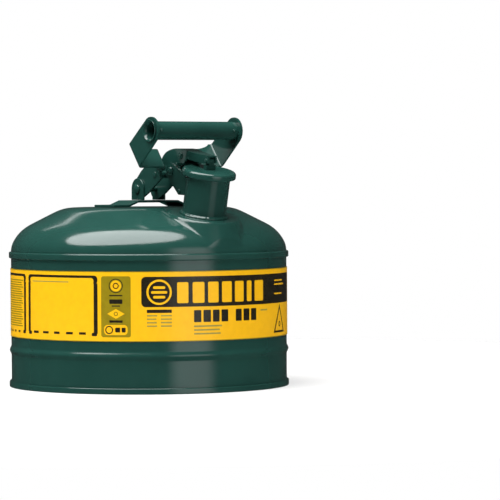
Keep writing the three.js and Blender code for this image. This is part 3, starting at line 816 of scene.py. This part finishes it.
# ------------------------------------------------------------------ pins, rivets and plates
def domed_rivet(name, node, body, place, shank, head, start, height):
    """A pin along X with a low domed head at each end. Radii, start and height are millimetres."""
    steps, edge, bevel, dome_from = 7, 0.94, 0.12, 0.3
    dome = []
    for k in range(steps + 1):
        angle = math.pi / 2 * k / steps
        rise = dome_from + (1 - dome_from) * math.sin(angle)
        dome.append((head * math.cos(angle), start + height * rise))
    dome[-1] = (0, dome[-1][1])
    foot = [(shank, start), (head * edge, start), (head, start + height * bevel)]
    half = [(r * MM, x * MM) for r, x in foot + dome]
    profile = [(r, -x) for r, x in reversed(half)] + half
    obj = lathe(name, profile, RIVET_FACETS)
    sharpen(obj, 50)
    along_x(obj, place)
    return finish_piece(obj, body, "green_enamel", node)


def grip_tube():
    """The grip: (r, x) millimetres from its middle out over the flared end and back down the bore."""
    half = [
        (9.7, 0), (9.7, 53.85), (10.9, 54.5), (11.6, 55.2), (11.5, 55.6),
        (10.6, 55.6), (9.2, 54.4), (8.3, 52.4), (8.3, 0),
    ]
    radii = [0.6, 0.6, 0.15, 0.15, 0.5, 1.0, 1.0]
    line = arc_corners([(r * MM, x * MM) for r, x in half], [q * MM for q in radii], steps=5)
    far = [(p.x, p.y) for p in line]
    near = [(r, -x) for r, x in reversed(far[1:-1])]
    obj = lathe("grip", far + near, RING_FACETS)
    sharpen(obj, 40)
    along_x(obj, GRIP)
    return finish_piece(obj, "handle", "green_enamel", "grip_tube")


def hardware():
    """The pins and rivets, then the plates and small pieces that keep their CAD shape."""
    nose = neck_matrix() @ Vector((0, 0, CAP_PIN_UP_NECK))
    nose_pin = (-nose.y, nose.z)
    can, lid, grip = "can_body", "cap_and_lever", "handle"
    # name, node, body, place, then shank radius, head radius, head's start and head's height
    for rivet in (
        ("hinge_rivet", "handle_pivot_pin", can, HANDLE_PIVOT, 2.9, 5.0, 14.6, 2.4),
        ("lever_hinge_rivet", "lever_pivot_pin", can, LEVER_PIVOT, 2.9, 4.6, 15.5, 2.3),
        ("cross_rivet", "bracket_cross_pin", can, CROSS_PIN, 1.9, 2.7, 15.5, 0.9),
        ("leg_rivet", "handle_rivet", grip, LEG_RIVET, 2.0, 3.4, 12.45, 1.0),
        ("arch_rivet", "lever_rivet", lid, LEVER_RIVET, 2.0, 3.6, 9.6, 1.2),
        ("stop_rod", "lever_stop_pin", lid, STOP_ROD, 1.8, 1.85, 14.8, 0.9),
        ("nose_rivet", "cap_pin", lid, nose_pin, 1.3, 2.2, 5.8, 0.8),
    ):
        domed_rivet(*rivet)
    # node, name, body, slot, then how wide the rounding is
    for end in ("left", "right"):
        softened(f"handle_side_{end}", f"handle_half_{end}", grip, "green_enamel", 0.55 * MM)
        softened(f"lever_bracket_{end}", f"bracket_cheek_{end}", can, "green_enamel", 0.5 * MM)
        softened(f"pivot_ear_{end}", f"hinge_ear_{end}", can, "green_enamel", 0.5 * MM)
        softened(f"grip_rivet_{end}", f"grip_stud_{end}", grip, "green_enamel", 0.2 * MM, segments=2)
        softened(f"lever_spacer_{end}", f"hinge_spacer_{end}", can, "zinc_steel", 0.3 * MM, segments=2)
    softened("handle_strap", "strap", can, "green_enamel", 0.5 * MM)
    softened("handle_spacer", "leg_spacer", grip, "green_enamel", 0.3 * MM, segments=2)
    softened("cap_lever", "lever", lid, "green_enamel", 0.8 * MM, segments=4)
    softened("cap_stem", "stem", lid, "green_enamel", 0.5 * MM)
    softened("closing_spring", "spring", lid, "spring_steel", 0.1 * MM, segments=2, angle=60)


# ------------------------------------------------------------------ camera, floor and light
# The camera was fitted to the photograph: metres from and above the can's foot, then radians.
CAMERA_DISTANCE = 3.2149
CAMERA_HEIGHT = 0.22507
CAMERA_PAN = 0.033653
CAMERA_DIP = 0.025364
CAMERA_ROLL = -0.004819
SENSOR = 36.0
LENS = 216.4824
FLOOR_R = 0.9
FLOOR_GLOW = 0.5
SEEN_SURROUND = 1.0
DIM_SURROUND = 0.04
WHITE = (1, 1, 1, 1)


def make_camera():
    data = bpy.data.cameras.new("camera")
    data.sensor_width = SENSOR
    data.lens = LENS
    camera = bpy.data.objects.new("camera", data)
    scene.collection.objects.link(camera)
    pan = Matrix.Rotation(CAMERA_TURN - CAMERA_PAN, 4, "Z")
    turn = Matrix.Rotation(CAMERA_TURN, 4, "Z")
    camera.location = turn @ Vector((0, -CAMERA_DISTANCE, CAMERA_HEIGHT))
    tip = Matrix.Rotation(math.pi / 2 - CAMERA_DIP, 4, "X")
    roll = Matrix.Rotation(CAMERA_ROLL, 4, "Z")
    camera.rotation_mode = "QUATERNION"
    camera.rotation_quaternion = (pan @ tip @ roll).to_quaternion()
    scene.camera = camera


def make_floor():
    """A pale round table, bright enough to run into the white behind it."""
    ring = []
    for k in range(RING_FACETS):
        angle = 2 * math.pi * k / RING_FACETS
        ring.append((FLOOR_R * math.cos(angle), FLOOR_R * math.sin(angle), 0))
    floor = mesh_object("floor", ring, [tuple(range(RING_FACETS))])
    material, nodes, links, shader = new_material("studio_floor")
    speckle = noise(nodes, links, 3, 3, 0.5)
    colour = ramp(nodes, links, speckle.outputs["Fac"], [
        (0.3, (0.36, 0.36, 0.36)),
        (0.7, (0.38, 0.38, 0.38)),
    ])
    links.new(colour, shader.inputs["Base Color"])
    shader.inputs["Roughness"].default_value = 0.7
    shader.inputs["Emission Color"].default_value = WHITE
    shader.inputs["Emission Strength"].default_value = FLOOR_GLOW
    floor.data.materials.append(material)
    floor.visible_glossy = False
    floor.visible_shadow = False


def aimed(place, target):
    """A lamp's place and turn, from points that are (right, towards the camera, up) of the can."""
    turn = Matrix.Rotation(CAMERA_TURN, 4, "Z")
    start = turn @ Vector((place[0], -place[1], place[2]))
    end = turn @ Vector((target[0], -target[1], target[2]))
    out = (start - end).normalized()
    upright = abs(out.z) > 0.9
    side = turn @ Vector((1, 0, 0)) if upright else Vector((0, 0, 1)).cross(out)
    side.normalize()
    axes = Matrix((side, out.cross(side), out)).transposed().to_4x4()
    return Matrix.Translation(start) @ axes


def softbox(name, place, target, width, height, radiance):
    """An elliptical lamp that shines one way, its power set from its radiance."""
    data = bpy.data.lights.new(name, "AREA")
    data.shape = "ELLIPSE"
    data.size = width
    data.size_y = height
    data.energy = radiance * math.pi * width * height * math.pi / 4
    lamp = bpy.data.objects.new(name, data)
    scene.collection.objects.link(lamp)
    lamp.matrix_world = aimed(place, target)
    return lamp


def glow_panel(name, place, target, width, height, radiance):
    """A tall lit panel, faded towards its edges, that shows in the gloss but not to the camera."""
    x, y = width / 2, height / 2
    panel = mesh_object(name, [(-x, -y, 0), (x, -y, 0), (x, y, 0), (-x, y, 0)], [(0, 1, 2, 3)])
    layer = panel.data.uv_layers.new(name="across")
    for loop, corner in zip(layer.data, ((0, 0), (1, 0), (1, 1), (0, 1))):
        loop.uv = corner
    panel.data.transform(aimed(place, target))
    material = bpy.data.materials.new(name)
    material.use_nodes = True
    nodes, links = material.node_tree.nodes, material.node_tree.links
    nodes.remove(nodes["Principled BSDF"])
    glow = nodes.new("ShaderNodeEmission")
    across = nodes.new("ShaderNodeTexCoord")
    split = nodes.new("ShaderNodeSeparateXYZ")
    links.new(across.outputs["UV"], split.inputs["Vector"])
    strength = None
    for axis, fade in (("X", 0.30), ("Y", 0.35)):
        middle = nodes.new("ShaderNodeMath")
        middle.operation = "PINGPONG"
        middle.inputs[1].default_value = 0.5
        links.new(split.outputs[axis], middle.inputs[0])
        edge = nodes.new("ShaderNodeMapRange")
        edge.interpolation_type = "SMOOTHSTEP"
        edge.inputs["From Max"].default_value = fade
        links.new(middle.outputs["Value"], edge.inputs["Value"])
        if strength is None:
            edge.inputs["To Max"].default_value = radiance
            strength = edge.outputs["Result"]
            continue
        product = nodes.new("ShaderNodeMath")
        product.operation = "MULTIPLY"
        links.new(strength, product.inputs[0])
        links.new(edge.outputs["Result"], product.inputs[1])
        strength = product.outputs["Value"]
    links.new(strength, glow.inputs["Strength"])
    links.new(glow.outputs["Emission"], nodes["Material Output"].inputs["Surface"])
    panel.data.materials.append(material)
    panel.visible_camera = False


def make_light():
    """A white surround for the camera, and a dim one for light and reflections."""
    world = bpy.data.worlds.new("studio")
    world.use_nodes = True
    nodes, links = world.node_tree.nodes, world.node_tree.links
    dim = nodes["Background"]
    dim.inputs["Color"].default_value = WHITE
    dim.inputs["Strength"].default_value = DIM_SURROUND
    white = nodes.new("ShaderNodeBackground")
    white.inputs["Color"].default_value = WHITE
    white.inputs["Strength"].default_value = SEEN_SURROUND
    ray = nodes.new("ShaderNodeLightPath")
    mix = nodes.new("ShaderNodeMixShader")
    links.new(ray.outputs["Is Camera Ray"], mix.inputs["Fac"])
    links.new(dim.outputs["Background"], mix.inputs[1])
    links.new(white.outputs["Background"], mix.inputs[2])
    links.new(mix.outputs["Shader"], nodes["World Output"].inputs["Surface"])
    scene.world = world
    softbox("overhead", place=(-0.66, 0.5, 1.6), target=(-0.66, 0.5, 0),
            width=2.4, height=1.6, radiance=8.7)
    softbox("back_left", place=(-0.45, -1.5, 1.25), target=(0, 0, 0.15),
            width=1.1, height=0.09, radiance=2.5)
    ceiling = softbox("ceiling", place=(0.8, -0.8, 3.0), target=(0.8, -0.8, 0),
                      width=5.0, height=5.0, radiance=1.4)
    ceiling.visible_glossy = False
    glow_panel("tall_right", place=(1.02, 1.48, 0.35), target=(0, 0, 0.35),
               width=1.5, height=2.3, radiance=1.6)
    scene.view_settings.view_transform = "Standard"


# ------------------------------------------------------------------ the object
make_camera()
make_floor()
make_light()
body_shell()
bottom_pan()
top_dome()
label_band()
label_print("label_marks_front", CAMERA_TURN)
label_print("label_marks_back", CAMERA_TURN + math.pi)
spout_parts()
screen_basket()
grip_tube()
hardware()

bpy.context.view_layer.update()
